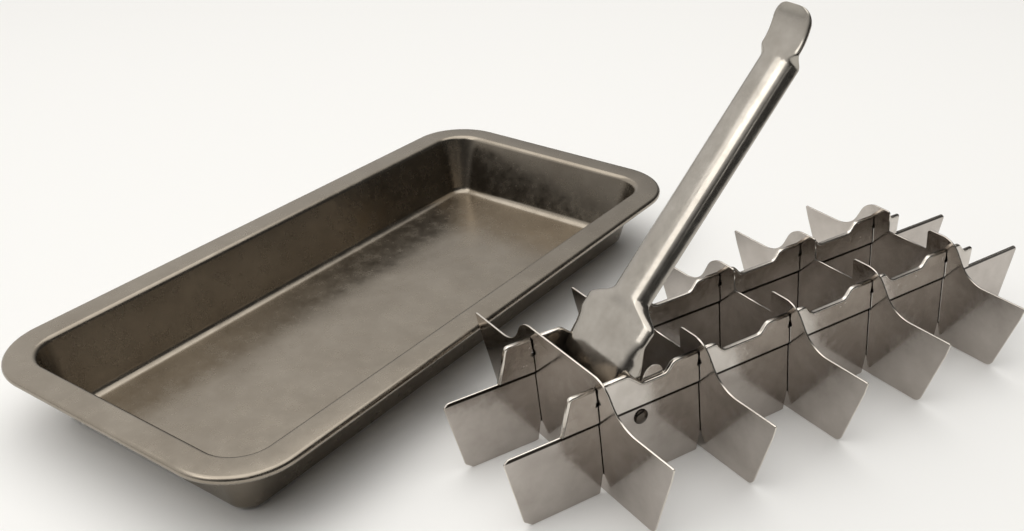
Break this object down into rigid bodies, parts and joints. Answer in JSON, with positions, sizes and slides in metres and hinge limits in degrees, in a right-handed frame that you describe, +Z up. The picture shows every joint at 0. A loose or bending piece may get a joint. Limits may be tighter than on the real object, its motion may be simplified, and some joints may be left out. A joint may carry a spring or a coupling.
{
  "type": "lever ice cube tray",
  "caption": "Steel ice cube tray: a rimmed oblong pan and, beside it, its lifted-out divider grid of rocking cross blades on long walls, with a raised release lever.",
  "frame": {"origin": "middle of the pan's underside, on the table", "axes": "+X along the pan's length, +Z up, out of the pan's mouth; the divider grid stands on the -Y side, turned 21 degrees clockwise seen from above"},
  "size_m": [0.3189, 0.3091, 0.1524],
  "materials": {
    "pan_steel": "satin",
    "grid_steel": "semi-bright",
    "lever_steel": "polished",
    "rivet_steel": "satin"
  },
  "bodies": {
    "tray": {"tray_pan": "pan_steel"},
    "grid_frame": {"front_wall": "grid_steel", "rear_wall": "grid_steel", "pivot_rivet_front": "rivet_steel", "pivot_rivet_rear": "rivet_steel", "pivot_washer_front": "rivet_steel", "pivot_washer_rear": "rivet_steel"},
    "slides": {"front_slide": "grid_steel", "rear_slide": "grid_steel"},
    "lever": {"lever": "lever_steel", "drive_pin_front": "rivet_steel", "drive_pin_rear": "rivet_steel"},
    "blade_1": {"blade_1": "grid_steel"},
    "blade_2": {"blade_2": "grid_steel"},
    "blade_3": {"blade_3": "grid_steel"},
    "blade_4": {"blade_4": "grid_steel"},
    "blade_5": {"blade_5": "grid_steel"}
  },
  "joints": [
    {"name": "grid_lift", "type": "slide", "parent": "tray", "child": "grid_frame", "axis": [0, 0, 1], "range_m": [0, 0.08]},
    {"name": "lever_pivot", "type": "hinge", "parent": "grid_frame", "child": "lever", "pos_m": [-0.02419, -0.12994, 0.0259], "axis": [-0.3584, -0.9336, 0], "range_deg": [-50, 4]},
    {"name": "slide_travel", "type": "slide", "parent": "grid_frame", "child": "slides", "axis": [-0.9336, 0.3584, 0], "range_m": [-0.00831, 0.00076]},
    {"name": "blade_1_rock", "type": "hinge", "parent": "grid_frame", "child": "blade_1", "pos_m": [-0.0381, -0.1246, 0.008], "axis": [-0.3584, -0.9336, 0], "range_deg": [-14.2, 1.23]},
    {"name": "blade_2_rock", "type": "hinge", "parent": "grid_frame", "child": "blade_2", "pos_m": [0.00298, -0.14037, 0.008], "axis": [-0.3584, -0.9336, 0], "range_deg": [-14.2, 1.23]},
    {"name": "blade_3_rock", "type": "hinge", "parent": "grid_frame", "child": "blade_3", "pos_m": [0.04405, -0.15614, 0.008], "axis": [-0.3584, -0.9336, 0], "range_deg": [-14.2, 1.23]},
    {"name": "blade_4_rock", "type": "hinge", "parent": "grid_frame", "child": "blade_4", "pos_m": [0.08513, -0.17191, 0.008], "axis": [-0.3584, -0.9336, 0], "range_deg": [-14.2, 1.23]},
    {"name": "blade_5_rock", "type": "hinge", "parent": "grid_frame", "child": "blade_5", "pos_m": [0.12621, -0.18767, 0.008], "axis": [-0.3584, -0.9336, 0], "range_deg": [-14.2, 1.23]}
  ],
  "couplings": [
    {"joint": "slide_travel", "follows": "lever_pivot", "m_per_rad": 0.0094105},
    {"joint": "blade_1_rock", "follows": "lever_pivot", "ratio": 0.282},
    {"joint": "blade_2_rock", "follows": "lever_pivot", "ratio": 0.282},
    {"joint": "blade_3_rock", "follows": "lever_pivot", "ratio": 0.282},
    {"joint": "blade_4_rock", "follows": "lever_pivot", "ratio": 0.282},
    {"joint": "blade_5_rock", "follows": "lever_pivot", "ratio": 0.282}
  ]
}
